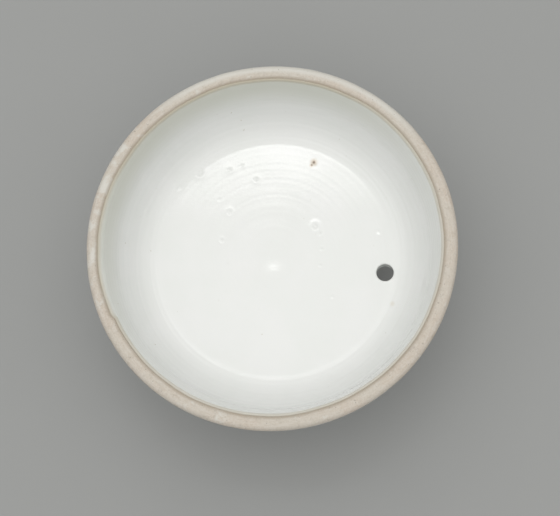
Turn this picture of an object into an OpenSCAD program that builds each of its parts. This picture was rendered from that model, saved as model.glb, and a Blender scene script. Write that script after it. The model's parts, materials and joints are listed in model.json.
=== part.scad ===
// Vented porcelain pot cover, lying upside down on its knob with the open mouth upwards.
// It is a thrown cap with leaning side walls and a bare rim, a button knob luted to the middle
// of its outside, and coats of glaze on everything but the rim. Millimetres, +Z up. The origin
// is the middle of the knob's flat end, and the vent is on the +X side.

/* [Cap] */
// Outer diameter of the cap in the rim's plane, before its edges are rounded
rim_d = 80; // [74:1:92]
// Width of the rim in that plane, before its edges are rounded
rim_w = 3.5; // [3.2:0.1:4.5]
// Depth of the glazed inside, from the rim's plane to the flat
inside_depth = 15.5; // [13:0.5:19]
// Thickness of the clay at the middle, where the knob is luted on
middle_t = 3.8; // [3.6:0.1:5.5]
// Lean of the inner side wall from upright, in degrees
inside_lean = 11; // [8:1:12]
// Lean of the outer side wall from upright, in degrees
outside_lean = 13; // [10:1:14]
// Radius of the inside corner between the flat and the side wall
corner_r = 9; // [7:0.5:10]
// Radius of the outside shoulder
shoulder_r = 11.5; // [10:0.5:12.5]
// Radius of the shallow dome of the outside
dome_r = 200; // [180:5:300]

/* [Rim] */
// Rounding of the rim's inner edge
inner_edge_r = 0.8; // [0.4:0.1:1.2]
// Rounding of the rim's outer edge
outer_edge_r = 1.2; // [0.6:0.1:1.6]

/* [Vent] */
// Diameter of the glazed vent hole
vent_d = 3.8; // [3:0.1:5]
// Distance of the vent from the middle of the cap
vent_x = 24.5; // [18:0.5:25]

/* [Knob] */
// Radius of the knob at its widest
knob_r = 9; // [8:0.5:10]
// Radius of the rounded edge of the button
button_r = 4; // [3:0.25:4.5]
// Radius of the knob's neck
neck_r = 5; // [4.6:0.1:6]
// Radius of the hollow curve from the neck to the cap
hollow_r = 3; // [2.5:0.1:4]
// Depth of the scored seat that the knob's foot sits in
seat_depth = 0.8; // [0.6:0.1:1.2]
// Gap between the knob's foot and its seat, filled with slip
slip_gap = 0.4; // [0.3:0.1:0.5]

/* [Glaze] */
// Thickness of the glaze on the cap and the knob
glaze_t = 0.35; // [0.25:0.05:0.5]
// Thickness of the glaze that ran down the vent
vent_glaze_t = 0.2; // [0.1:0.05:0.3]
// Distance from the rim's plane down to the edge of the inside glaze
inside_bare = 0.9; // [0.8:0.1:2]
// Distance from the rim's plane down to the edge of the outside glaze
outside_bare = 2.8; // [1.2:0.1:3]

/* [Hidden] */
$fn = 96;
arc_step = 6;    // degrees between the points of an arc, at most
arc_chord = 2.5; // distance between the points of an arc, at most
past = 1;        // how far a cutter runs past what it cuts

rim_r = rim_d / 2;
vent_r = vent_d / 2;
clay_vent_r = vent_r + vent_glaze_t;

// The knob from its flat end upwards: the button's rounded edge, then the hollow curve.
button_x = knob_r - button_r;
button_z = glaze_t + button_r;
hollow_x = neck_r + hollow_r;
hollow_z = button_z + sqrt(pow(button_r + hollow_r, 2) - pow(hollow_x - button_x, 2));
button_end = atan2(hollow_z - button_z, hollow_x - button_x);

// The outside dome is tangent to the hollow curve, dome_start being the angle where they meet.
// Within that circle the outside is flat, at middle_z.
dome_z = hollow_z + sqrt(pow(dome_r + hollow_r, 2) - pow(hollow_x, 2));
dome_start = atan2(hollow_z - dome_z, hollow_x);
middle_z = hollow_z - hollow_r * sin(dome_start);

// The knob's foot and its seat in the cap.
seat_r = neck_r + slip_gap;
seat_z = middle_z + seat_depth;
foot_z = seat_z - slip_gap;

// Heights of the inside flat's clay and of the rim's plane.
flat_z = middle_z + middle_t;
rim_z = flat_z + glaze_t + inside_depth;

// Radius of each side wall at height z, with a coat of thickness t.
function inner_wall(z, t) = rim_r - rim_w - (rim_z - z) * tan(inside_lean) - t / cos(inside_lean);
function outer_wall(z, t) = rim_r - (rim_z - z) * tan(outside_lean) + t / cos(outside_lean);

// The inside corner is tangent to the flat and to the inner side wall.
corner_z = flat_z + corner_r;
corner_x = inner_wall(corner_z, corner_r);

// The outside shoulder is tangent to the dome and to the outer side wall. Its centre is where
// the wall's line, moved in by the shoulder's radius, crosses a circle about the dome's centre.
slope = tan(outside_lean);
moved_x = outer_wall(0, -shoulder_r);
half_b = moved_x * slope - dome_z;
square_a = 1 + pow(slope, 2);
square_c = pow(moved_x, 2) + pow(dome_z, 2) - pow(dome_r - shoulder_r, 2);
shoulder_z = (-half_b - sqrt(pow(half_b, 2) - square_a * square_c)) / square_a;
shoulder_x = moved_x + slope * shoulder_z;
dome_end = atan2(shoulder_z - dome_z, shoulder_x);

// Points along an arc about [x, z], from angle a to angle b.
function arc(x, z, r, a, b) =
    let (n = ceil(abs(b - a) * max(1 / arc_step, r * PI / 180 / arc_chord)))
    [for (i = [0:n]) [x + r * cos(a + (b - a) * i / n), z + r * sin(a + (b - a) * i / n)]];

function reversed(points) = [for (i = [len(points) - 1:-1:0]) points[i]];

// Outlines with a coat of thickness t, where 0 gives the bare clay. Each runs from the axis out.
function button_line(t) = concat(
    [[0, button_z - button_r - t]],
    arc(button_x, button_z, button_r + t, -90, button_end)
);
function hollow_line(t) = arc(hollow_x, hollow_z, hollow_r - t, 180 + button_end, 180 + dome_start);
function outside_line(t) = concat(
    arc(0, dome_z, dome_r + t, dome_start, dome_end),
    arc(shoulder_x, shoulder_z, shoulder_r + t, dome_end, -outside_lean)
);
function inside_line(t) = concat(
    [[0, flat_z + t]],
    arc(corner_x, corner_z, corner_r - t, -90, -inside_lean)
);

// The same outlines carried up the side walls to height z.
function outside_to(z, t) = concat(outside_line(t), [[outer_wall(z, t), z]]);
function inside_to(z, t) = concat(inside_line(t), [[inner_wall(z, t), z]]);

// The bare rim, from its outer edge over to its inner edge.
outer_edge_z = rim_z - outer_edge_r;
inner_edge_z = rim_z - inner_edge_r;
rim_line = concat(
    arc(outer_wall(outer_edge_z, -outer_edge_r), outer_edge_z, outer_edge_r, -outside_lean, 90),
    arc(inner_wall(inner_edge_z, -inner_edge_r), inner_edge_z, inner_edge_r, 90, 180 - inside_lean)
);

// A coat of glaze fills the space between two outlines.
module coat(clay_line, glaze_line) {
    rotate_extrude() polygon(concat(clay_line, reversed(glaze_line)));
}

module vent_hole(r) {
    translate([vent_x, 0, middle_z - past]) cylinder(h = middle_t + 3 * past, r = r);
}

// The thrown cap of bare clay, with the knob's seat and the hole for the vent.
module cap() {
    color("linen") difference() {
        rotate_extrude() polygon(concat(
            [[0, middle_z]],
            outside_line(0),
            rim_line,
            reversed(inside_line(0))
        ));
        translate([0, 0, middle_z - past]) cylinder(h = past + seat_depth, r = seat_r);
        vent_hole(clay_vent_r);
    }
}

// The button knob. Its neck goes straight on from the hollow curve's narrowest point.
module knob() {
    color("linen") rotate_extrude() polygon(concat(
        button_line(0),
        arc(hollow_x, hollow_z, hollow_r, 180 + button_end, 180),
        [[neck_r, foot_z], [0, foot_z]]
    ));
}

// The slip that joins the knob to the cap: under the foot, round it and out in a fillet.
module luting_slip() {
    color("wheat") rotate_extrude() polygon(concat(
        [[0, seat_z], [0, foot_z], [neck_r, foot_z]],
        arc(hollow_x, hollow_z, hollow_r, 180, 180 + dome_start),
        [[seat_r, middle_z], [seat_r, seat_z]]
    ));
}

module inside_glaze() {
    edge_z = rim_z - inside_bare;
    color("azure") difference() {
        coat(inside_to(edge_z, 0), inside_to(edge_z, glaze_t));
        vent_hole(clay_vent_r);
    }
}

module outside_glaze() {
    edge_z = rim_z - outside_bare;
    color("azure") difference() {
        coat(outside_to(edge_z, 0), outside_to(edge_z, glaze_t));
        vent_hole(clay_vent_r);
    }
}

module knob_glaze() {
    color("azure") coat(
        concat(button_line(0), hollow_line(0)),
        concat(button_line(glaze_t), hollow_line(glaze_t))
    );
}

// The sleeve of glaze in the vent, from the face of the outside coat to that of the inside one.
module vent_glaze() {
    color("azure") difference() {
        intersection() {
            rotate_extrude() polygon(concat(outside_line(glaze_t), reversed(inside_line(glaze_t))));
            vent_hole(clay_vent_r);
        }
        vent_hole(vent_r);
    }
}

cap();
knob();
luting_slip();
inside_glaze();
outside_glaze();
knob_glaze();
vent_glaze();
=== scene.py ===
# %% [markdown]
# # A small porcelain pot cover, upside down
#
# The cover is a thrown cap with a vent hole, a button knob under it, and glaze on everything but
# the rim. We look down into its hollow side. This lesson builds each skin of clay and glaze as a
# surface worked out with numpy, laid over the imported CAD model, and gives it a procedural finish.

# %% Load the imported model
import json
import math
import bmesh
import bpy
import numpy as np
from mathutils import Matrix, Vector


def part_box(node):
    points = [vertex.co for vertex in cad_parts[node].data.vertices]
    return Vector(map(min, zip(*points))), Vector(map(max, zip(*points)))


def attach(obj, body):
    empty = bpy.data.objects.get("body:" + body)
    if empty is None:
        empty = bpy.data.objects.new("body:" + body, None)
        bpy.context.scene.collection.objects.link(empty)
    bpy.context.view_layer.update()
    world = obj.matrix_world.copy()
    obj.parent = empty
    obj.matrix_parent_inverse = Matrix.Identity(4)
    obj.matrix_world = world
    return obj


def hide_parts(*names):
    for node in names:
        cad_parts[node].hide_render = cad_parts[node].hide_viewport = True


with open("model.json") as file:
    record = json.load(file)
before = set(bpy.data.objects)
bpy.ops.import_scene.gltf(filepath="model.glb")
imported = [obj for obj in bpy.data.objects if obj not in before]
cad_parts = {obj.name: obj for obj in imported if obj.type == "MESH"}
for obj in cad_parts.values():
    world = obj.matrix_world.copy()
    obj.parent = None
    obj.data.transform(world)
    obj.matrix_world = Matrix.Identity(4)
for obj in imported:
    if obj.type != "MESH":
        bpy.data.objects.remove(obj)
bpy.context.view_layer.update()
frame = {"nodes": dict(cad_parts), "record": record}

print("CAD nodes:", sorted(frame["nodes"]))

# %% [markdown]
# ## Sizes
#
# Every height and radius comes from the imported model: boxes of its nodes, and its mounts. What a
# box can't say, such as the radius of a corner, is a named value with the same size as in the CAD.

# %% Sizes from the model
MM = 0.001
LEAN_IN, LEAN_OUT = math.radians(11), math.radians(13)
CORNER_R, SHOULDER_R, DOME_R = 9 * MM, 11.5 * MM, 200 * MM
INNER_EDGE_R, OUTER_EDGE_R = 0.8 * MM, 1.2 * MM
BUTTON_R, HOLLOW_R = 4 * MM, 3 * MM
RIM_W = 3.5 * MM

vent = next(m for m in frame["record"]["mounts"] if m["name"] == "vent_hole")
VENT_X, VENT_R = vent["pos_m"][0], vent["dims"]["r_mm"] * MM
CLAY_VENT_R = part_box("vent_glaze")[1][1]

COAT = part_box("knob")[0][2]
RIM_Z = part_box("cap")[1][2]
OUTSIDE_BARE = RIM_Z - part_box("outside_glaze")[1][2]
FLAT_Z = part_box("inside_glaze")[0][2]
KNOB_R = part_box("knob")[1][0]
HOLLOW_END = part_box("luting_slip")[1][0]
HOLLOW_X = KNOB_R - BUTTON_R + HOLLOW_R
OUTSIDE_TOP_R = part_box("outside_glaze")[1][0] - COAT / math.cos(LEAN_OUT)
RIM_R = OUTSIDE_TOP_R + OUTSIDE_BARE * math.tan(LEAN_OUT)
print(f"rim {RIM_R / MM:.2f} mm out and {RIM_Z / MM:.2f} mm up, flat at {FLAT_Z / MM:.2f} mm")
print(f"vent {VENT_X / MM:.1f} mm out, radius {VENT_R / MM:.2f} mm, coat {COAT / MM:.2f} mm")

# %% [markdown]
# ## One line round the clay
#
# A potter turns the cover from a single profile. So one line describes it here: it starts in the
# middle of the inside, runs out over the flat, up the corner and the wall, over the rim, down the
# outside, and over the knob to the middle of its flat end. Spin could turn a drawn profile, but a
# line that can be asked for any distance along it also lets a coat of glaze end where it likes.

# %% The line, as arcs and straights
ARC_GAP, LINE_GAP = 0.03 * MM, 0.02 * MM


def arc(centre, radius, start, stop):
    """Points of a circle's arc, from angle start to angle stop, at most ARC_GAP apart."""
    count = 2 + int(abs(stop - start) * radius / ARC_GAP)
    angle = np.linspace(start, stop, count)
    return np.stack([centre[0] + radius * np.cos(angle), centre[1] + radius * np.sin(angle)], 1)


def inner_wall(z):
    """Radius of the clay's inner side wall at height z: a straight line that leans outwards."""
    return RIM_R - RIM_W - (RIM_Z - z) * math.tan(LEAN_IN)


def outer_wall(z):
    """Radius of the clay's outer side wall at height z: a straight line that leans outwards."""
    return RIM_R - (RIM_Z - z) * math.tan(LEAN_OUT)


QUARTER = math.pi / 2
corner = (inner_wall(FLAT_Z + CORNER_R) - CORNER_R / math.cos(LEAN_IN), FLAT_Z + CORNER_R)
inner_z, outer_z = RIM_Z - INNER_EDGE_R, RIM_Z - OUTER_EDGE_R
inner_edge = (inner_wall(inner_z) + INNER_EDGE_R / math.cos(LEAN_IN), inner_z)
outer_edge = (outer_wall(outer_z) - OUTER_EDGE_R / math.cos(LEAN_OUT), outer_z)

button = (KNOB_R - BUTTON_R, COAT + BUTTON_R)
hollow_rise = math.sqrt((BUTTON_R + HOLLOW_R) ** 2 - (HOLLOW_X - button[0]) ** 2)
hollow = (HOLLOW_X, button[1] + hollow_rise)
button_end = math.atan2(hollow_rise, HOLLOW_X - button[0])
dome = (0, hollow[1] + math.sqrt((DOME_R + HOLLOW_R) ** 2 - HOLLOW_X ** 2))
dome_start = math.atan2(hollow[1] - dome[1], HOLLOW_X)

slope = math.tan(LEAN_OUT)
wall_x = outer_wall(0) - SHOULDER_R / math.cos(LEAN_OUT)
half_b = wall_x * slope - dome[1]
rest = wall_x ** 2 + dome[1] ** 2 - (DOME_R - SHOULDER_R) ** 2
shoulder_z = (-half_b - math.sqrt(half_b ** 2 - (1 + slope ** 2) * rest)) / (1 + slope ** 2)
shoulder = (wall_x + slope * shoulder_z, shoulder_z)
dome_end = math.atan2(shoulder[1] - dome[1], shoulder[0])

STRETCHES = {
    "flat": np.array([[0, FLAT_Z], [corner[0], FLAT_Z]]),
    "corner": arc(corner, CORNER_R, -QUARTER, -LEAN_IN),
    "inner_edge": arc(inner_edge, INNER_EDGE_R, math.pi - LEAN_IN, QUARTER),
    "outer_edge": arc(outer_edge, OUTER_EDGE_R, QUARTER, -LEAN_OUT),
    "shoulder": arc(shoulder, SHOULDER_R, -LEAN_OUT, dome_end),
    "dome": arc(dome, DOME_R, dome_end, dome_start),
    "hollow": arc(hollow, HOLLOW_R, math.pi + dome_start, math.pi + button_end),
    "button": arc(button, BUTTON_R, button_end, -QUARTER),
    "end": np.array([[button[0], COAT], [0, COAT]]),
}
corners = np.concatenate(list(STRETCHES.values()))
lengths = np.concatenate([[0], np.cumsum(np.hypot(*np.diff(corners, axis=0).T))])
first = np.cumsum([0] + [len(points) for points in STRETCHES.values()][:-1])
AT = dict(zip(STRETCHES, lengths[first]))
LINE_S = np.arange(0, lengths[-1], LINE_GAP)
LINE = np.stack([np.interp(LINE_S, lengths, corners[:, i]) for i in (0, 1)], 1)
TANGENT = np.gradient(LINE, axis=0)
TANGENT /= np.linalg.norm(TANGENT, axis=1, keepdims=True)
WIDEST = LINE_S[np.argmax(LINE[:, 0])]
print("the line is", round(lengths[-1] / MM, 1), "mm long; stretches start at",
      {name: round(at / MM, 2) for name, at in AT.items()})

# %% [markdown]
# ## Laying skin on the line
#
# A place on the clay is a distance along the line and an angle round the axis. A skin is a height
# above each such place. `lay` turns the three into points, for whole grids at once.

# %% Points, smooth steps and ripples
def lay(s, around, height):
    """Points at distance s along the line and angle around, raised along the clay's normal."""
    r, z = np.interp(s, LINE_S, LINE[:, 0]), np.interp(s, LINE_S, LINE[:, 1])
    along_r, along_z = np.interp(s, LINE_S, TANGENT[:, 0]), np.interp(s, LINE_S, TANGENT[:, 1])
    r = r - along_z * height
    return np.stack([r * np.cos(around), r * np.sin(around), z + along_r * height], -1)


def step(x, low, high):
    """0 up to low and 1 from high, with a smooth rise between: 3t squared less 2t cubed."""
    t = np.clip((x - low) / (high - low), 0, 1)
    return t * t * (3 - 2 * t)


def bump(x, middle, width):
    """A bell of height 1 at the middle, that falls to 1/e at the given width from it."""
    return np.exp(-((x - middle) / width) ** 2)


def ripple(around, orders, seed):
    """A wavy line round the axis: a sum of sines of the given orders, each with a random phase."""
    phases = np.random.default_rng(seed).uniform(0, 2 * np.pi, len(orders))
    return sum(np.sin(k * around + p) for k, p in zip(orders, phases)) / math.sqrt(len(orders))


def apart(around, degrees):
    """Angle from a direction in degrees to each angle around, between -180 and 180 degrees."""
    return (np.degrees(around) - degrees + 180) % 360 - 180


# %% [markdown]
# ## A grid that goes round the vent
#
# A skin with a hole in it could be cut with a Boolean, which leaves slivers along the cut. Here
# the grid is slit along one of its own lines, and the slit is opened into a circle with the
# Joukowski map, which engineers use for the flow round a cylinder. The grid's lines then bend
# round the hole as water would, and every face stays a neat quad.

# %% The slit and its opening
COLUMNS, SLIT_ROWS = 360, 48
AROUND = np.linspace(0, 2 * np.pi, COLUMNS + 1)[None, :]
FADE_FROM, FADE_TO = 2, 3.8


def slit_radii(hole_r):
    """Radii of the rows that the slit crosses: the slit is four times as long as the hole's
    radius, and its rows crowd towards its two ends, as a cosine does."""
    return VENT_X - 2 * hole_r * np.cos(np.linspace(0, np.pi, SLIT_ROWS + 1))


def radius_table(side):
    """Rising radii of the clay on one side, inside or outside, and their distances on the line."""
    half = LINE_S <= WIDEST
    if side == "outside":
        half = (LINE_S >= WIDEST) & (LINE_S <= AT["hollow"])
    order = np.argsort(LINE[half, 0])
    return LINE[half, 0][order], LINE_S[half][order]


def open_slit(s, around, hole_r, side):
    """Moves places on a grid away from the vent, so that the slit becomes a circle.
    With w a place in the plane, counted from the vent, the map is half of w plus the square root
    of w squared less four times the hole's radius squared. It fades out further away."""
    w = np.interp(s, LINE_S, LINE[:, 0]) * np.exp(1j * around) - VENT_X
    w[:, -1] = np.conj(w[:, 0])
    w[:, 0] += 1e-15j
    w[:, -1] -= 1e-15j
    opened = (w + np.sqrt(w - 2 * hole_r) * np.sqrt(w + 2 * hole_r)) / 2
    near = 1 - step(np.abs(w), FADE_FROM * hole_r, FADE_TO * hole_r)
    place = VENT_X + w + (opened - w) * near
    turned = np.unwrap(np.angle(place), axis=1)
    new_s = np.interp(np.abs(place), *radius_table(side))
    return np.where(near > 0, new_s, s), np.where(near > 0, turned % (2 * np.pi), around)


# %% Skins
NEAR = 4 * MM


class Skin:
    """The points, faces and edge nearness of one skin, gathered part by part as whole arrays."""

    def __init__(self):
        self.points, self.nearness, self.faces, self.count = [], [], [], 0

    def add(self, points, nearness=0.0):
        """Adds a grid of points and returns the grid of their numbers. nearness is 1 at the line
        where glaze ends, and falls to 0 at NEAR from it."""
        index = self.count + np.arange(points[..., 0].size).reshape(points.shape[:-1])
        self.points.append(points.reshape(-1, 3))
        self.nearness.append(np.broadcast_to(nearness, index.shape).ravel())
        self.count += index.size
        return index

    def quads(self, index):
        """Faces between all neighbouring rows and columns of a grid of numbers."""
        quads = [index[:-1, :-1], index[1:, :-1], index[1:, 1:], index[:-1, 1:]]
        self.faces.append(np.stack(quads, -1).reshape(-1, 4))

    def rings(self, *loops):
        """Faces between loops of numbers, each loop closed on itself."""
        index = np.stack(loops)
        self.quads(np.concatenate([index, index[:, :1]], axis=1))

    def cap(self, loop, centre):
        """Closes a small loop with a fan round one more point."""
        middle = np.full(len(loop), self.add(np.array([centre]))[0])
        self.faces.append(np.stack([loop, np.roll(loop, -1), middle, middle], -1))


def build(name, skin, material, slot, *nodes):
    """Makes a smooth Blender piece from a skin: unused points are dropped, quads that close a
    pole become triangles, and all faces are turned outwards."""
    faces, points = np.concatenate(skin.faces), np.concatenate(skin.points)
    used, faces = np.unique(faces, return_inverse=True)
    faces = faces.reshape(-1, 4)
    sides = np.where(faces[:, 2] == faces[:, 3], 3, 4)
    keep = np.arange(4) < sides[:, None]
    mesh = bpy.data.meshes.new(name)
    mesh.vertices.add(len(used))
    mesh.vertices.foreach_set("co", points[used].astype(np.float32).ravel())
    mesh.loops.add(int(sides.sum()))
    mesh.loops.foreach_set("vertex_index", faces[keep].astype(np.int32))
    mesh.polygons.add(len(faces))
    starts = np.concatenate([[0], np.cumsum(sides)[:-1]])
    mesh.polygons.foreach_set("loop_start", starts.astype(np.int32))
    mesh.update(calc_edges=True)
    mesh.validate()
    nearness = mesh.attributes.new("edge_nearness", "FLOAT", "POINT")
    nearness.data.foreach_set("value", np.concatenate(skin.nearness)[used].astype(np.float32))
    shape = bmesh.new()
    shape.from_mesh(mesh)
    bmesh.ops.recalc_face_normals(shape, faces=shape.faces)
    open_edges = sum(not e.is_manifold for e in shape.edges)
    volume = shape.calc_volume(signed=True) / MM ** 3
    shape.to_mesh(mesh)
    shape.free()
    mesh.shade_smooth()
    thing = bpy.data.objects.new(name, mesh)
    bpy.context.scene.collection.objects.link(thing)
    mesh.materials.append(material)
    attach(thing, "root")
    if nodes:
        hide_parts(*nodes)
    print(f"{name}: {int((sides - 2).sum())} triangles, {volume:.0f} mm3, {open_edges} open edges")
    return thing


# %% A sheet with the vent in it
def nowhere_near(s, around):
    """The edge nearness of a surface that isn't seen: 0 all over."""
    return 0 * s


def vented_sheet(skin, rows, slit, hole_r, side, height, nearness=nowhere_near):
    """A sheet of a coat with the vent in it. rows gives each row's distance along the line, slit
    its first and last slit row, height and nearness are functions of distance and angle.
    Returns the grid of numbers and the loop of numbers round the hole."""
    s, around = np.broadcast_arrays(rows, AROUND)
    s, around = open_slit(s, around, hole_r, side)
    index = skin.add(lay(s, around, height(s, around)), nearness(s, around))
    closed = np.ones(len(index), bool)
    closed[slit[0] + 1:slit[1]] = False
    index[closed, -1] = index[closed, 0]
    skin.quads(index)
    upper = index[slit[0]:slit[1] + 1, 0]
    lower = index[slit[0] + 1:slit[1], -1][::-1]
    return index, np.concatenate([upper, lower])


def vent_rings(skin, loop, radii, drops):
    """Rings from a hole's loop inwards and down the vent. Each keeps the loop's directions from
    the vent's axis, and has its own radius and its own drop below the loop."""
    start = np.concatenate(skin.points)[loop]
    away = start[:, :2] - [VENT_X, 0]
    away /= np.linalg.norm(away, axis=1, keepdims=True)
    plan = [VENT_X, 0] + away[None] * np.asarray(radii)[:, None, None]
    z = start[None, :, 2:] - np.asarray(drops)[:, None, None]
    index = skin.add(np.concatenate([plan, np.broadcast_to(z, plan.shape[:2] + (1,))], -1))
    skin.rings(loop, *index)
    return index[-1]


# %% [markdown]
# ## The glaze and the fired clay
#
# Porcelain glaze is a clear glass over white clay, so it is a white surface under a sharp gloss.
# Up the wall on one side the glaze is painted greyer and greener: this is painted shade where the
# wall faces away from the light, with a faint green tint of the glaze. It browns right at a bare
# edge, partly because iron in the clay comes through and partly as painted shade. The bare clay is
# dry, sandy and warm, with grey and white patches where it was handled. A picture could show all
# this too, but it would need the skins unwrapped. Here both finishes are built from noise, from
# places in millimetres, and from the edge nearness that each skin carries.

# %% A small kit for nodes
class Kit:
    """Adds nodes to a node tree. Every method but node and put returns an output."""

    def __init__(self, tree):
        self.nodes, self.link = tree.nodes, tree.links.new

    def node(self, kind, *values, **settings):
        """A new node with the given settings, and its first sockets joined or set."""
        node = self.nodes.new(kind)
        for key, value in settings.items():
            setattr(node, key, value)
        for socket, value in zip(node.inputs, values):
            self.put(value, socket)
        return node

    def put(self, value, socket):
        """Joins a socket to an output, or sets it to a number, a place or a colour."""
        if isinstance(value, bpy.types.NodeSocket):
            self.link(value, socket)
        elif socket.type == "RGBA":
            socket.default_value = (*value, 1)
        else:
            socket.default_value = value

    def mixed(self, factor, low, high):
        """A mix of two colours by a factor."""
        node = self.node("ShaderNodeMix", factor, data_type="RGBA")
        for value, at in ((low, 6), (high, 7)):
            self.put(value, node.inputs[at])
        return node.outputs[2]

    def ranged(self, value, from_min, from_max, to_min=0.0, to_max=1.0):
        """A smooth change from one range of values to another."""
        ends = (from_min, from_max, to_min, to_max)
        node = self.node("ShaderNodeMapRange", value, *ends, interpolation_type="SMOOTHSTEP")
        return node.outputs["Result"]

    def maths(self, operation, *values):
        """A Math node on numbers or outputs."""
        return self.node("ShaderNodeMath", *values, operation=operation).outputs[0]

    def times(self, one, other):
        """The product of two numbers or outputs."""
        return self.maths("MULTIPLY", one, other)

    def vector(self, operation, *values):
        """A Vector Math node on places or outputs. Some of them give a number, some a vector."""
        return self.node("ShaderNodeVectorMath", *values, operation=operation).outputs

    def noise(self, place, per_mm, detail=3.0, roughness=0.5):
        """A noise whose features are about 1 / per_mm millimetres wide."""
        node = self.node("ShaderNodeTexNoise", place)
        settings = {"Scale": per_mm / MM, "Detail": detail, "Roughness": roughness}
        for name, value in settings.items():
            self.put(value, node.inputs[name])
        return node.outputs["Fac"]

    def spot(self, place, at_mm, radius_mm, soft=0.0):
        """1 at a place in millimetres, falling to 0 at a radius from it. soft is the part of the
        radius where it stays 1."""
        away = self.vector("DISTANCE", place, [v * MM for v in at_mm])["Value"]
        return self.ranged(away, radius_mm * soft * MM, radius_mm * MM, 1.0, 0.0)

    def towards(self, place, degrees, low, high):
        """How far a place's direction from the axis is turned to one direction, from 0 at low
        degrees away to 1 at high. Also the direction itself, and the distance from the axis."""
        flat = self.vector("MULTIPLY", place, (1, 1, 0))[0]
        unit = self.vector("NORMALIZE", flat)[0]
        angle, low, high = (math.radians(v) for v in (degrees, low, high))
        aim = (math.cos(angle), math.sin(angle), 0)
        facing = self.vector("DOT_PRODUCT", unit, aim)["Value"]
        radius = self.vector("LENGTH", flat)["Value"]
        return self.ranged(facing, math.cos(low), math.cos(high)), unit, radius

    def bumped(self, height, strength, distance):
        """A normal that is tilted by the slopes of a height, without moving the surface."""
        node = self.node("ShaderNodeBump")
        for name, value in (("Strength", strength), ("Distance", distance), ("Height", height)):
            self.put(value, node.inputs[name])
        return node.outputs["Normal"]


def new_material(name):
    """An empty material with its kit, its shader's sockets, the place and the edge nearness."""
    material = bpy.data.materials.new(name)
    material.use_nodes = True
    kit = Kit(material.node_tree)
    place = kit.node("ShaderNodeTexCoord").outputs["Object"]
    near = kit.node("ShaderNodeAttribute", attribute_name="edge_nearness").outputs["Fac"]
    return material, kit, kit.nodes["Principled BSDF"].inputs, place, near


# %% Glaze
FLAT_MM = (FLAT_Z + COAT) / MM
IRON, SMALL_IRON = (5.3, 22.8, FLAT_MM), (4.9, 22.1, FLAT_MM)
TAN_STAIN = (27.1, -6.8, FLAT_MM)
COOL_WHITE, PLAIN_WHITE = (0.790, 0.803, 0.783), (0.806, 0.814, 0.800)
# The wall's greenish grey is painted shade, with a faint green tint of the glaze.
GREENISH_WALL_SHADE, EDGE_BROWN_AND_SHADE, PEPPER = (0.56, 0.57, 0.49), (0.44, 0.40, 0.31), (0.62, 0.60, 0.54)
IRON_HALO, IRON_CORE, TAN = (0.56, 0.40, 0.24), (0.12, 0.08, 0.05), (0.62, 0.55, 0.40)
SHADED_WALL_SIDE, DULL_SIDE = 130, -82
GLAZE_IOR = 1.52


def glaze_colour(kit, place, near):
    """Faint clouds and pepper; then the painted shade of the wall, the brown edge that is partly
    painted shade, and the stains.
    """
    clouds = kit.ranged(kit.noise(place, 0.09), 0.35, 0.65)
    colour = kit.mixed(clouds, COOL_WHITE, PLAIN_WHITE)
    pepper = kit.ranged(kit.noise(place, 1.3, 1.0), 0.79, 0.83)
    colour = kit.mixed(pepper, colour, PEPPER)
    height = kit.node("ShaderNodeSeparateXYZ", place).outputs["Z"]
    # Painted shade: greyer and greener up the wall on the side that faces away from the light.
    side = kit.towards(place, SHADED_WALL_SIDE, 115, 15)[0]
    up_the_wall = kit.ranged(height, RIM_Z - 12 * MM, RIM_Z - 2 * MM)
    grey = kit.times(up_the_wall, kit.maths("MULTIPLY_ADD", side, 0.62, 0.10))
    colour = kit.mixed(grey, colour, GREENISH_WALL_SHADE)
    # The brown at a bare edge is partly iron coming through and partly painted shade, stronger on
    # the side that faces away from the light.
    edge = kit.ranged(near, 0.78, 0.98)
    thin = kit.times(edge, kit.maths("MULTIPLY_ADD", side, 0.30, 0.70))
    colour = kit.mixed(thin, colour, EDGE_BROWN_AND_SHADE)
    halo = kit.maths("MAXIMUM", kit.spot(place, IRON, 1.3), kit.spot(place, SMALL_IRON, 0.8))
    colour = kit.mixed(kit.times(halo, 0.7), colour, IRON_HALO)
    core = kit.maths(
        "MAXIMUM", kit.spot(place, IRON, 0.42, 0.3), kit.spot(place, SMALL_IRON, 0.35))
    colour = kit.mixed(kit.times(core, 0.85), colour, IRON_CORE)
    return kit.mixed(kit.times(kit.spot(place, TAN_STAIN, 0.9, 0.1), 0.35), colour, TAN)


def glaze_roughness(kit, place):
    """A sharp gloss that varies a little, and is duller in the corner on one side."""
    rough = kit.ranged(kit.noise(place, 0.3), 0.3, 0.7, 0.055, 0.085)
    side, _, radius = kit.towards(place, DULL_SIDE, 110, 70)
    height = kit.node("ShaderNodeSeparateXYZ", place).outputs["Z"]
    corner_side = kit.times(side, kit.ranged(radius, 24.8 * MM, 26 * MM))
    inside_only = kit.times(corner_side, kit.ranged(height, FLAT_Z - 0.6 * MM, FLAT_Z))
    dull = kit.ranged(height, FLAT_Z + 3 * MM, FLAT_Z + 6 * MM, 0.15, 0.0)
    return kit.maths("ADD", rough, kit.times(inside_only, dull))


def make_glaze():
    """White gloss: its colour, its roughness, and fine dimples as an orange's peel has."""
    material, kit, sockets, place, near = new_material("porcelain_glaze")
    kit.put(glaze_colour(kit, place, near), sockets["Base Color"])
    kit.put(glaze_roughness(kit, place), sockets["Roughness"])
    kit.put(GLAZE_IOR, sockets["IOR"])
    dimples = kit.noise(place, 1.6, 2.0)
    kit.put(kit.bumped(dimples, 0.25, 0.02 * MM), sockets["Normal"])
    return material


GLAZE = make_glaze()
print("glaze nodes:", len(GLAZE.node_tree.nodes))

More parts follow.
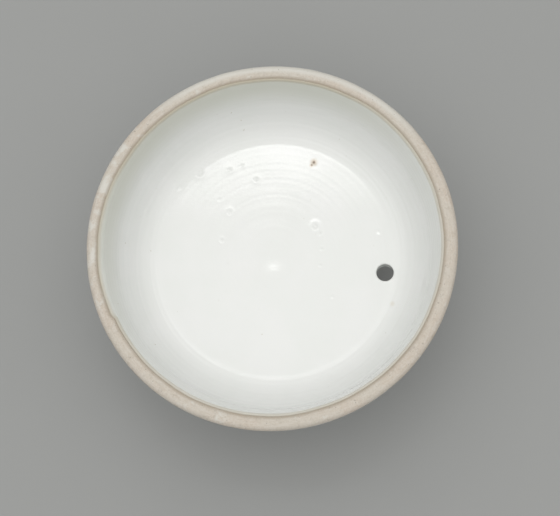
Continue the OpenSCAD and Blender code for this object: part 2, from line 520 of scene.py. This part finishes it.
# %% Fired clay
WORN_SIDE, FILM_SIDE = 168, 92
SMOKY, SANDY, WORN_WHITE = (0.43, 0.385, 0.32), (0.70, 0.66, 0.60), (0.66, 0.65, 0.60)
SPECK, GLAZE_EDGE_STAIN_AND_SHADE = (0.16, 0.13, 0.10), (0.27, 0.215, 0.15)


def dragged(kit, unit, radius):
    """A noise stretched into lines that run round the axis: its place is the direction at the
    rim's radius, with nine times the distance from the axis as its height."""
    rise = kit.node("ShaderNodeCombineXYZ", 0.0, 0.0, kit.times(radius, 9.0)).outputs[0]
    wound = kit.vector("MULTIPLY_ADD", unit, (RIM_R,) * 3, rise)[0]
    return kit.noise(wound, 0.45, 4.0, 0.6)


def make_clay(name, base, warm, pale):
    """Dry sandy clay: warm and pale clouds, lines dragged round by the wiping, smoky blotches,
    sand, worn white patches, dark specks, a darkening where the glaze ends that is partly a stain
    and partly painted shade on the rim's roundings, and a fine grain."""
    material, kit, sockets, place, near = new_material(name)
    colour = kit.mixed(kit.ranged(kit.noise(place, 0.12, 4.0), 0.38, 0.62), base, warm)
    worn_side, unit, radius = kit.towards(place, WORN_SIDE, 62, 20)
    film_side = kit.towards(place, FILM_SIDE, 52, 30)[0]
    streaks = dragged(kit, unit, radius)
    colour = kit.mixed(kit.times(kit.ranged(streaks, 0.42, 0.62), 0.5), colour, pale)
    blotch = kit.ranged(kit.noise(place, 0.9, 5.0, 0.65), 0.50, 0.68)
    colour = kit.mixed(kit.times(blotch, 0.45), colour, SMOKY)
    sand = kit.ranged(kit.noise(place, 2.6, 3.0, 0.7), 0.44, 0.62)
    colour = kit.mixed(kit.times(sand, 0.30), colour, SANDY)
    reach = kit.maths("MULTIPLY_ADD", worn_side, 0.10, kit.noise(place, 0.22, 6.0, 0.7))
    worn = kit.times(kit.ranged(reach, 0.58, 0.70), 0.75)
    outer = kit.ranged(radius, RIM_R - 2.4 * MM, RIM_R - 1.2 * MM)
    white = kit.maths("MAXIMUM", worn, kit.times(kit.times(outer, film_side), 0.75))
    colour = kit.mixed(white, colour, WORN_WHITE)
    specks = kit.ranged(kit.noise(place, 2.2, 2.0), 0.70, 0.76)
    colour = kit.mixed(kit.times(specks, 0.6), colour, SPECK)
    # Darker where the glaze ends: partly a real stain, partly painted shade on the rim's roundings.
    colour = kit.mixed(kit.times(kit.ranged(near, 0.78, 1.0), 0.6), colour, GLAZE_EDGE_STAIN_AND_SHADE)
    kit.put(colour, sockets["Base Color"])
    kit.put(kit.ranged(white, 0.0, 1.0, 0.75, 0.32), sockets["Roughness"])
    grain = kit.maths("ADD", kit.noise(place, 3.0, 4.0, 0.6), streaks)
    kit.put(kit.bumped(grain, 0.6, 0.05 * MM), sockets["Normal"])
    return material


CLAY = make_clay(
    "bare_fired_clay", (0.555, 0.485, 0.405), (0.56, 0.51, 0.435), (0.62, 0.58, 0.52))
SLIP = make_clay(
    "luting_slip_clay", (0.58, 0.51, 0.43), (0.59, 0.54, 0.46), (0.64, 0.60, 0.54))
for node, material in (("cap", CLAY), ("knob", CLAY), ("luting_slip", SLIP)):
    slots = frame["nodes"][node].data.materials
    slots.clear()
    slots.append(material)
print("clay nodes:", len(CLAY.node_tree.nodes))

# %% [markdown]
# ## Where the glaze ends
#
# The rim was wiped clean so that the cover wouldn't stick in the kiln. The wiping is done by hand
# on a turning wheel, so its two edges wander. On one side the inside coat was left higher, with a
# step where the wipe began, and on another the outside coat creeps up towards the rim.

# %% The two glaze lines
STEP_AT, STEP_WIDTH = -146, 1.5
HIGH_END, HIGH_FADE = 162, (-18, 22)
CREEP_AT, CREEP_FADE = 97, (12, 46)
INSIDE_LINE, STEP_HEIGHT = 0.7, 0.5
OUTSIDE_LINE, CREEP_LENGTH = 3.8, 1.8


def inside_edge(around):
    """Distance along the line at which the inside coat ends, for each angle: a little way over
    the rim's inner edge, further from the step round to HIGH_END, with a fine waver."""
    from_step = (STEP_AT - np.degrees(around)) % 360
    length = (STEP_AT - HIGH_END) % 360
    fade = 1 - step(from_step, length + HIGH_FADE[0], length + HIGH_FADE[1])
    high = step(from_step, 0, STEP_WIDTH) * fade
    wander = 0.06 * ripple(around, (3, 5, 8, 13, 21), 4) + 0.015 * ripple(around, (34, 55, 89), 5)
    return AT["inner_edge"] + (INSIDE_LINE + STEP_HEIGHT * high + wander) * MM


def outside_edge(around):
    """Distance along the line at which the outside coat ends, for each angle: well down the
    wall, less where the glaze crept up."""
    creep = 1 - step(np.abs(apart(around, CREEP_AT)), *CREEP_FADE)
    wander = 0.18 * ripple(around, (2, 5, 7, 11, 19), 7) + 0.05 * ripple(around, (31, 53), 8)
    return AT["outer_edge"] + (OUTSIDE_LINE - CREEP_LENGTH * creep + wander) * MM


everywhere = np.linspace(0, 2 * np.pi, 721)
print("bare band, mm along the clay:",
      np.round(np.ptp([inside_edge(everywhere), outside_edge(everywhere)], axis=0)[::90] / MM, 2))

# %% [markdown]
# ## The inside coat
#
# Glaze poured into a thrown cap follows the potter's finger rings, hides the smallest of them,
# and keeps pinholes where gas came out. A dip marks the middle, where the wall was opened. Each
# of these is a term of one height function. A displacement texture could do it too, but terms in
# millimetres can be aimed at a place, and the mesh itself gets the shape.

# %% Height of the inside coat
BEAD = 0.4 * MM
SUNK = -0.04 * MM


def bead(from_edge):
    """The rounded free edge of a coat: a quarter of an ellipse, 0 at the edge and 1 further in."""
    x = np.clip(from_edge / BEAD, 0, 1)
    return np.sqrt(x * (2 - x))


def swells(x, y, seed, count, shortest, longest):
    """Gentle unevenness: a sum of plane waves in random directions, with lengths in metres."""
    rng = np.random.default_rng(seed)
    total = 0
    for _ in range(count):
        way, phase = rng.uniform(0, 2 * np.pi), rng.uniform(0, 2 * np.pi)
        length = rng.uniform(shortest, longest)
        along = (x * np.cos(way) + y * np.sin(way)) / length
        total = total + length / longest * np.sin(2 * np.pi * along + phase)
    return total / math.sqrt(count)


FLAW_DEPTH = 1.4 * MM
FLAWS = (
    (-7.0, 17.2, 0.50, 0.09), (-11.8, 9.0, 0.55, 0.08), (7.7, 8.3, 0.70, 0.13),
    (9.0, 6.8, 0.45, 0.08), (-13.3, 18.6, 0.45, 0.08), (-10.7, 19.9, 0.35, 0.05),
    (-19.9, 17.1, 0.85, 0.09), (-24.1, 13.0, 0.60, 0.09), (-12.6, 2.3, 0.45, 0.06),
    (21.7, 9.0, 0.45, 0.06), (-30.4, 6.3, 0.55, -0.08), (5.3, 22.8, 0.50, -0.05),
    (13.7, -7.0, 0.40, 0.05), (9.9, 3.3, 0.40, 0.05), (10.1, -0.4, 0.35, 0.05),
    (-14.5, 11.5, 0.35, 0.04),
)
RING_SETS = ((0.9, 0.0), (1.13, 1.3), (1.7, 2.9))
RING_HEIGHT, SWELL_HEIGHT, CORNER_HEIGHT = 0.0065 * MM, 0.010 * MM, 0.006 * MM
DIP_DEPTH, DIP_WIDTH, DIP_OFF = 0.125 * MM, 2.8 * MM, 0.5 * MM
SPIRAL_HEIGHT, SPIRAL_PITCH = 0.004 * MM, 4.6 * MM
DISH_RISE, DISH_FROM, DISH_WIDTH = 0.02 * MM, 15 * MM, 13 * MM
RIDGE_HEIGHT, RIDGE_AT, RIDGE_SIDE = 0.035 * MM, 28.4 * MM, 134


def finger_rings(s, around):
    """Three sets of rings of slightly different spacing, that beat against each other. Each is a
    spiral, because the finger moves out as the wheel turns, and wavers a little round the cap."""
    waver = 0.35 * ripple(around, (2, 3, 5), 11)
    rings = 0
    for spacing, turn in RING_SETS:
        wave = np.sin(2 * np.pi * s / (spacing * MM) - around + waver + turn)
        rings = rings + spacing * wave
    return rings


def flaw(x, y, at_x, at_y, width):
    """A pinhole with a raised lip: (1 - d squared) times e to the minus d squared, where d is
    the distance from it over its width."""
    d = np.hypot(x - at_x * MM, y - at_y * MM) / (width * MM)
    return (1 - d ** 2) * np.exp(-d ** 2)


def edged(height, from_edge):
    """A height that rounds off at the coat's edge, and sinks a little under the clay past it."""
    rounded = np.where(from_edge < BEAD, height * bead(from_edge), height)
    return rounded + SUNK / 2 * (from_edge <= 0)


def inside_height(s, around):
    """The coat's thickness, plus finger rings that are strongest in the corner, swells, the
    middle's dip and spiral, a slight dish, one ridge, and the flaws."""
    r = np.interp(s, LINE_S, LINE[:, 0])
    x, y = r * np.cos(around), r * np.sin(around)
    strength = 0.10 + 0.90 * step(s, 24 * MM, 31 * MM) - 0.6 * step(s, 35 * MM, 40 * MM)
    height = COAT + RING_HEIGHT * strength * finger_rings(s, around)
    height = height + SWELL_HEIGHT * swells(x, y, 21, 14, 7 * MM, 22 * MM)
    in_corner = bump(s, 30 * MM, 3 * MM)
    height = height + CORNER_HEIGHT * swells(x, y, 33, 14, 2.5 * MM, 7 * MM) * in_corner
    height = height - DIP_DEPTH * bump(np.hypot(x + DIP_OFF, y), 0, DIP_WIDTH)
    spiral = np.sin(2 * np.pi * r / SPIRAL_PITCH - around)
    height = height + SPIRAL_HEIGHT * spiral * bump(r, 8 * MM, 5 * MM)
    height = height + DISH_RISE * np.clip((r - DISH_FROM) / DISH_WIDTH, 0, 1) ** 2
    ridge = bump(s, RIDGE_AT, 0.5 * MM) * bump(apart(around, RIDGE_SIDE), 0, 15)
    height = height + RIDGE_HEIGHT * ridge
    for at_x, at_y, width, depth in FLAWS:
        height = height - FLAW_DEPTH * depth * flaw(x, y, at_x, at_y, width)
    return edged(height, inside_edge(around) - s)


def sunk_height(s, around):
    """The height of a coat's hidden back, just under the clay's surface."""
    return SUNK + 0 * s


def inside_nearness(s, around):
    """1 at the edge of the inside coat, falling to 0 at NEAR from it."""
    return np.clip(1 - (inside_edge(around) - s) / NEAR, 0, 1)


# %% Rows of the inside coat
FLARE = 0.32 * MM
MOUTH_R = VENT_R + FLARE
COLLAR_END = 1.6 * MM
BEAD_TURN = np.linspace(0, QUARTER, 9)[1:, None]
FLARE_TURN = np.linspace(0, QUARTER, 8)[1:]


def spaced(start, stop, gap):
    """Evenly spaced distances from start to stop, no more than a gap apart."""
    return np.linspace(start, stop, 1 + math.ceil(abs(stop - start) / gap))


def rows_with_slit(start, stop, gap, hole_r, side):
    """Rows from start to stop with the slit's rows among them, and the slit's first and last."""
    slit = np.sort(np.interp(slit_radii(hole_r), *radius_table(side)))
    before, after = spaced(start, slit[0], gap)[:-1], spaced(slit[-1], stop, gap)[1:]
    return np.concatenate([before, slit, after])[:, None], (len(before), len(before) + SLIT_ROWS)


def out_to_edge(rows, edge, count):
    """Adds rows that part evenly from the last row to the edge's line, and then round its bead."""
    last, start = rows[-1:], edge - BEAD
    between = last + (start - last) * np.linspace(0, 1, count + 1)[1:, None]
    rows = np.broadcast_to(rows, (len(rows), COLUMNS + 1))
    return np.concatenate([rows, between, start + BEAD * np.sin(BEAD_TURN)])


def collar(depth, throat, clay):
    """Radii and depths of the rings of a collar: a rounded mouth, then a straight sleeve to the
    given depth, where it turns out to the clay."""
    radii = np.concatenate([throat + FLARE * (1 - np.sin(FLARE_TURN)), [throat, throat, clay]])
    depths = np.concatenate([FLARE * (1 - np.cos(FLARE_TURN)), [depth / 2, depth, depth]])
    return radii, depths


# %% The inside coat's piece
inside = Skin()
edge_line, wall_top = inside_edge(AROUND), AT["inner_edge"] - 2 * MM
rows, slit = rows_with_slit(0.15 * MM, wall_top, 0.27 * MM, MOUTH_R, "inside")
rows = out_to_edge(rows, edge_line, 7)
front, mouth = vented_sheet(
    inside, rows, slit, MOUTH_R, "inside", inside_height, inside_nearness)
rows, slit = rows_with_slit(1 * MM, wall_top, 2 * MM, CLAY_VENT_R, "inside")
rows = out_to_edge(rows, edge_line, 2)
back, bore = vented_sheet(inside, rows, slit, CLAY_VENT_R, "inside", sunk_height)
inside.rings(front[-1, :-1], back[-1, :-1])
inside.cap(front[0, :-1], (0, 0, FLAT_Z + inside_height(np.zeros(1), np.zeros(1))[0]))
inside.cap(back[0, :-1], (0, 0, FLAT_Z + SUNK))
inside.rings(vent_rings(inside, mouth, *collar(COLLAR_END, VENT_R, CLAY_VENT_R)), bore)
inside_coat = build("inside_coat", inside, GLAZE, "glaze", "inside_glaze", "vent_glaze")

# %% [markdown]
# ## The bare rim
#
# The rim is raw clay, wiped with a sponge and then worn by use. It has fine lines that run round
# it, where sand was dragged along, and shallow chips. Its ring of surface reaches a little way
# under both coats of glaze, so no gap can show where their edges wander.

# %% Surface of the bare rim
RIM_COLUMNS, RIM_ROWS = 720, 30
UNDER, TUCK = 0.3 * MM, 0.2 * MM
RAISED, RIM_BACK = 0.06 * MM, -0.15 * MM


def rim_height(s, around):
    """Just proud of the clay, with dragged lines, low swells and chips of random depth."""
    r = np.interp(s, LINE_S, LINE[:, 0])
    x, y = r * np.cos(around), r * np.sin(around)
    lines = np.sin(2 * np.pi * s / (0.55 * MM) + 1.2 * ripple(around, (3, 7, 12), 31))
    uneven = ripple(around, (9, 17, 29, 43), 34)
    pits = np.clip(swells(x, y, 33, 40, 0.9 * MM, 3.5 * MM) - 0.75, 0, 1)
    return RAISED + (0.006 * lines + 0.012 * uneven - 0.05 * pits) * MM


# %% The rim's piece
rim = Skin()
rim_around = np.linspace(0, 2 * np.pi, RIM_COLUMNS + 1)[None, :-1]
first, last = inside_edge(rim_around) - UNDER, outside_edge(rim_around) + UNDER
s = first + (last - first) * np.linspace(0, 1, RIM_ROWS)[:, None]
tucked = np.minimum(step(s - first, 0, TUCK), step(last - s, 0, TUCK))
from_glaze = np.minimum(np.abs(s - first - UNDER), np.abs(last - UNDER - s) + 0.5 * MM)
# Edge nearness for the clay's darkening at the glaze lines: partly a real stain, partly painted
# shade.
stained_and_shaded = np.clip(1 - from_glaze / NEAR, 0, 1)
top = rim.add(lay(s, rim_around, rim_height(s, rim_around) * tucked), stained_and_shaded)
under = rim.add(lay(s[::3], rim_around, np.full(s[::3].shape, RIM_BACK)))
rim.rings(*top)
rim.rings(*under)
rim.rings(top[0], under[0])
rim.rings(top[-1], under[-1])
bare_rim = build("bare_rim", rim, CLAY, "biscuit")

# %% [markdown]
# ## The outside coat
#
# The outside was trimmed on the wheel, so its rings are wide and faint, and the glaze lies a
# little thicker low on the shoulder. The coat runs down from its wandering edge to the foot of
# the knob, and has its own half of the vent's collar.

# %% Height and rows of the outside coat
JOIN = 0.5 * MM
# The outside coat's edge gets a weaker share of the same brown, partly painted shade.
OUTSIDE_EDGE_BROWN_AND_SHADE = 0.35
OUTSIDE_COLLAR_END, COLLAR_STEP = 1.7 * MM, 0.02 * MM


def outside_height(s, around):
    """The coat's thickness, thinner near the rim and a little thinner at the foot, with trimming
    lines and swells."""
    r = np.interp(s, LINE_S, LINE[:, 0])
    x, y = r * np.cos(around), r * np.sin(around)
    trimmed = np.sin(2 * np.pi * s / (2.3 * MM) + 0.5 * ripple(around, (2, 5), 41))
    rim_edge, foot = AT["outer_edge"], AT["hollow"]
    height = COAT * (0.45 + 0.55 * step(s, rim_edge - 1 * MM, rim_edge + 2.5 * MM))
    height = height + (0.003 * trimmed + 0.010 * swells(x, y, 42, 14, 8 * MM, 25 * MM)) * MM
    height = height - 0.03 * MM * step(s, foot - 0.3 * MM, foot + JOIN)
    return edged(height, s - outside_edge(around))


def outside_nearness(s, around):
    """OUTSIDE_EDGE_BROWN_AND_SHADE at the edge of the outside coat, falling to 0 at NEAR from it."""
    return OUTSIDE_EDGE_BROWN_AND_SHADE * np.clip(1 - (s - outside_edge(around)) / NEAR, 0, 1)


def from_edge_in(rows, edge, count):
    """The same rows as out_to_edge gives, for a coat whose edge comes before its other rows."""
    return -out_to_edge(-rows[::-1], -edge, count)[::-1]


def outside_rows(gap, hole_r, count):
    """Rows from the coat's edge to the knob's foot, and the slit's first and last among them."""
    below_rim, foot = AT["outer_edge"] + 5 * MM, AT["hollow"] + JOIN
    plain, slit = rows_with_slit(below_rim, foot, gap, hole_r, "outside")
    rows = from_edge_in(plain, outside_edge(AROUND), count)
    extra = len(rows) - len(plain)
    return rows, (slit[0] + extra, slit[1] + extra)


# %% The outside coat's piece
outside = Skin()
rows, slit = outside_rows(0.5 * MM, MOUTH_R, 12)
front, mouth = vented_sheet(
    outside, rows, slit, MOUTH_R, "outside", outside_height, outside_nearness)
rows, slit = outside_rows(2 * MM, CLAY_VENT_R, 3)
back, bore = vented_sheet(outside, rows, slit, CLAY_VENT_R, "outside", sunk_height)
outside.rings(front[0, :-1], back[0, :-1])
outside.rings(front[-1, :-1], back[-1, :-1])
radii, depths = collar(OUTSIDE_COLLAR_END, VENT_R + COLLAR_STEP, CLAY_VENT_R)
outside.rings(vent_rings(outside, mouth, radii, -depths), bore)
outside_coat = build("outside_coat", outside, GLAZE, "glaze", "outside_glaze")

# %% [markdown]
# ## The coat on the knob
#
# The knob is a flat button on a short neck. Glaze runs into the hollow round the neck and pools
# there, and it pulls thin over the button's edge. This skin starts on the dome, just under the
# outside coat's surface, so the two coats look like one pour.

# %% Surface of the knob's coat
KNOB_COLUMNS = 240
KNOB_START = AT["hollow"] - 1.8 * MM


def knob_height(s, around):
    """The coat's thickness, plus a pool in the hollow, less a thin place on the button's edge and
    a shallow dip in the middle of its flat end."""
    r = np.interp(s, LINE_S, LINE[:, 0])
    x, y = r * np.cos(around), r * np.sin(around)
    pool = bump(s, AT["hollow"] + 1.2 * MM, 1.3 * MM) * (1 + 0.25 * ripple(around, (1, 2, 3), 51))
    thin = bump(s, AT["end"] - 3.2 * MM, 2.2 * MM)
    dip = step(s, AT["end"] + 0.3 * MM, LINE_S[-1] - 1.5 * MM)
    rise = 0.04 * MM * (1 - step(s, KNOB_START, KNOB_START + 1.4 * MM))
    uneven = swells(x, y, 52, 8, 4 * MM, 12 * MM) * (1 - step(s, AT["end"] - 2 * MM, AT["end"]))
    return COAT + 0.006 * MM - rise + (0.16 * pool - 0.05 * thin - 0.10 * dip + 0.008 * uneven) * MM


# %% The knob coat's piece
knob = Skin()
knob_around = np.linspace(0, 2 * np.pi, KNOB_COLUMNS + 1)[None, :-1]
pole = LINE_S[-1] - 0.15 * MM
s, turned = np.broadcast_arrays(spaced(KNOB_START, pole, 0.25 * MM)[:, None], knob_around)
front = knob.add(lay(s, turned, knob_height(s, turned)))
s, turned = np.broadcast_arrays(spaced(KNOB_START, pole, 0.8 * MM)[:, None], knob_around)
back = knob.add(lay(s, turned, SUNK + 0 * s))
knob.rings(*front)
knob.rings(*back)
knob.rings(front[0], back[0])
end_height = knob_height(LINE_S[-1:], np.zeros(1))[0]
knob.cap(front[-1], (0, 0, COAT - end_height))
knob.cap(back[-1], (0, 0, COAT - SUNK))
knob_coat = build("knob_coat", knob, GLAZE, "glaze", "knob_glaze")

# %% [markdown]
# ## Floor, light and camera
#
# The cover stands on its knob on a plain pale floor. Glossy white shows its shape mostly by what
# it mirrors, so the light is planned by where it is seen. A narrow softbox hangs just where the
# far part of the flat mirrors it, and fades in slowly towards its near edge. A wide sheet of
# cloth overhead and a room that is brighter above give everything else its soft shading. One
# bright sun lamp would be simpler, but it would burn small hard highlights into the glaze.

# %% Floor
FLOOR_HALF, FLOOR_Z = 2.0, -0.03 * MM
floor_mesh = bpy.data.meshes.new("floor")
floor_corners = [(x * FLOOR_HALF, y * FLOOR_HALF, FLOOR_Z)
                 for x, y in ((-1, -1), (1, -1), (1, 1), (-1, 1))]
floor_mesh.from_pydata(floor_corners, [], [(0, 1, 2, 3)])
floor = bpy.data.objects.new("floor", floor_mesh)
bpy.context.scene.collection.objects.link(floor)


def make_floor():
    """Matt grey card, with a very faint cloudiness."""
    material, kit, sockets, place, _ = new_material("grey_card")
    clouds = kit.noise(place, 0.02, 4.0)
    kit.put(kit.mixed(clouds, (0.32, 0.325, 0.32), (0.34, 0.345, 0.34)), sockets["Base Color"])
    kit.put(0.85, sockets["Roughness"])
    return material


floor_mesh.materials.append(make_floor())

# %% Softboxes and room
LIGHT_AWAY = 1.5
MIDDLE = Vector((0, 0, FLAT_Z))
HORIZON, OVERHEAD = 0.36, 1.05


def direction(azimuth, zenith):
    """Unit vector at an azimuth, and at an angle from straight up."""
    level = math.sin(zenith)
    return Vector((level * math.cos(azimuth), level * math.sin(azimuth), math.cos(zenith)))


def stand(thing, right, up, back, at):
    """Puts a lamp or a camera at a place, facing away from back."""
    place = np.eye(4)
    place[:3, 0], place[:3, 1], place[:3, 2], place[:3, 3] = right, up, back, at
    thing.matrix_world = place.T
    bpy.context.scene.collection.objects.link(thing)


def softbox(name, azimuth, near, far, width, strength, fades):
    """A rectangular lamp that spans two zenith angles in degrees, facing the cover. Its light
    fades out towards its sides, its near edge and its far edge, over fractions of its size."""
    azimuth, near, far = math.radians(azimuth), math.radians(near), math.radians(far)
    middle = (near + far) / 2
    lamp = bpy.data.lights.new(name, "AREA")
    lamp.shape = "RECTANGLE"
    lamp.size, lamp.size_y = width, 2 * LIGHT_AWAY * math.tan((far - near) / 2)
    lamp.energy = strength * lamp.size * lamp.size_y * math.pi
    back, outwards = direction(azimuth, middle), direction(azimuth, middle + QUARTER)
    thing = bpy.data.objects.new(name, lamp)
    stand(thing, outwards.cross(back), outwards, back, MIDDLE + LIGHT_AWAY * back)
    lamp.use_nodes = True
    kit = Kit(lamp.node_tree)
    over = kit.node("ShaderNodeNewGeometry").outputs["Parametric"]
    x, y, _ = kit.node("ShaderNodeSeparateXYZ", over).outputs
    side, near_fade, far_fade = fades
    across = kit.times(kit.ranged(x, 0, side), kit.ranged(x, 1, 1 - side))
    along = kit.times(kit.ranged(y, 0, near_fade), kit.ranged(y, 1, 1 - far_fade))
    kit.put(kit.times(across, along), kit.nodes["Emission"].inputs["Strength"])
    print(name, "gives", round(lamp.energy, 2), "W")


def make_room():
    """A world that is dim at the horizon and rises evenly to its full light straight up."""
    world = bpy.data.worlds.new("room")
    world.use_nodes = True
    kit = Kit(world.node_tree)
    sky = kit.nodes["Background"].inputs
    kit.put((1.0, 0.995, 0.98), sky["Color"])
    way = kit.node("ShaderNodeTexCoord").outputs["Generated"]
    height = kit.node("ShaderNodeSeparateXYZ", way).outputs["Z"]
    brighter = kit.node("ShaderNodeMapRange", height, 0.0, 1.0, HORIZON, OVERHEAD)
    kit.put(brighter.outputs["Result"], sky["Strength"])
    return world


softbox("key_softbox", 104, 13.4, 20, 0.80, 4.7, (0.48, 0.5, 0.3))
softbox("overhead_cloth", 118, -35, 55, 3.0, 0.76, (0.5, 0.5, 0.5))
bpy.context.scene.world = make_room()
bpy.context.scene.view_settings.view_transform = "Standard"

# %% Camera
LENS, SENSOR = 101.2, 36
SHIFT = (0.0120, -0.0119)
CAMERA_AZIMUTH, CAMERA_ZENITH = math.radians(-62.3), math.radians(90 - 77.68)
CAMERA_ROLL = math.radians(-19.56)
CAMERA_AWAY = 0.3432
LOOK_AT = Vector((0, 0, 0.025))

camera_data = bpy.data.cameras.new("camera")
camera_data.lens, camera_data.sensor_width = LENS, SENSOR
camera_data.shift_x, camera_data.shift_y = SHIFT
camera_data.clip_start, camera_data.clip_end = 0.01, 20
camera = bpy.data.objects.new("camera", camera_data)
back = direction(CAMERA_AZIMUTH, CAMERA_ZENITH)
right = (-back).cross(Vector((0, 0, 1))).normalized()
up = right.cross(-back)
turned_right = math.cos(CAMERA_ROLL) * right + math.sin(CAMERA_ROLL) * up
turned_up = math.cos(CAMERA_ROLL) * up - math.sin(CAMERA_ROLL) * right
camera_at = LOOK_AT + CAMERA_AWAY * back
stand(camera, turned_right, turned_up, back, camera_at)
bpy.context.scene.camera = camera
print("camera at, mm:", [round(v / MM, 1) for v in camera_at])
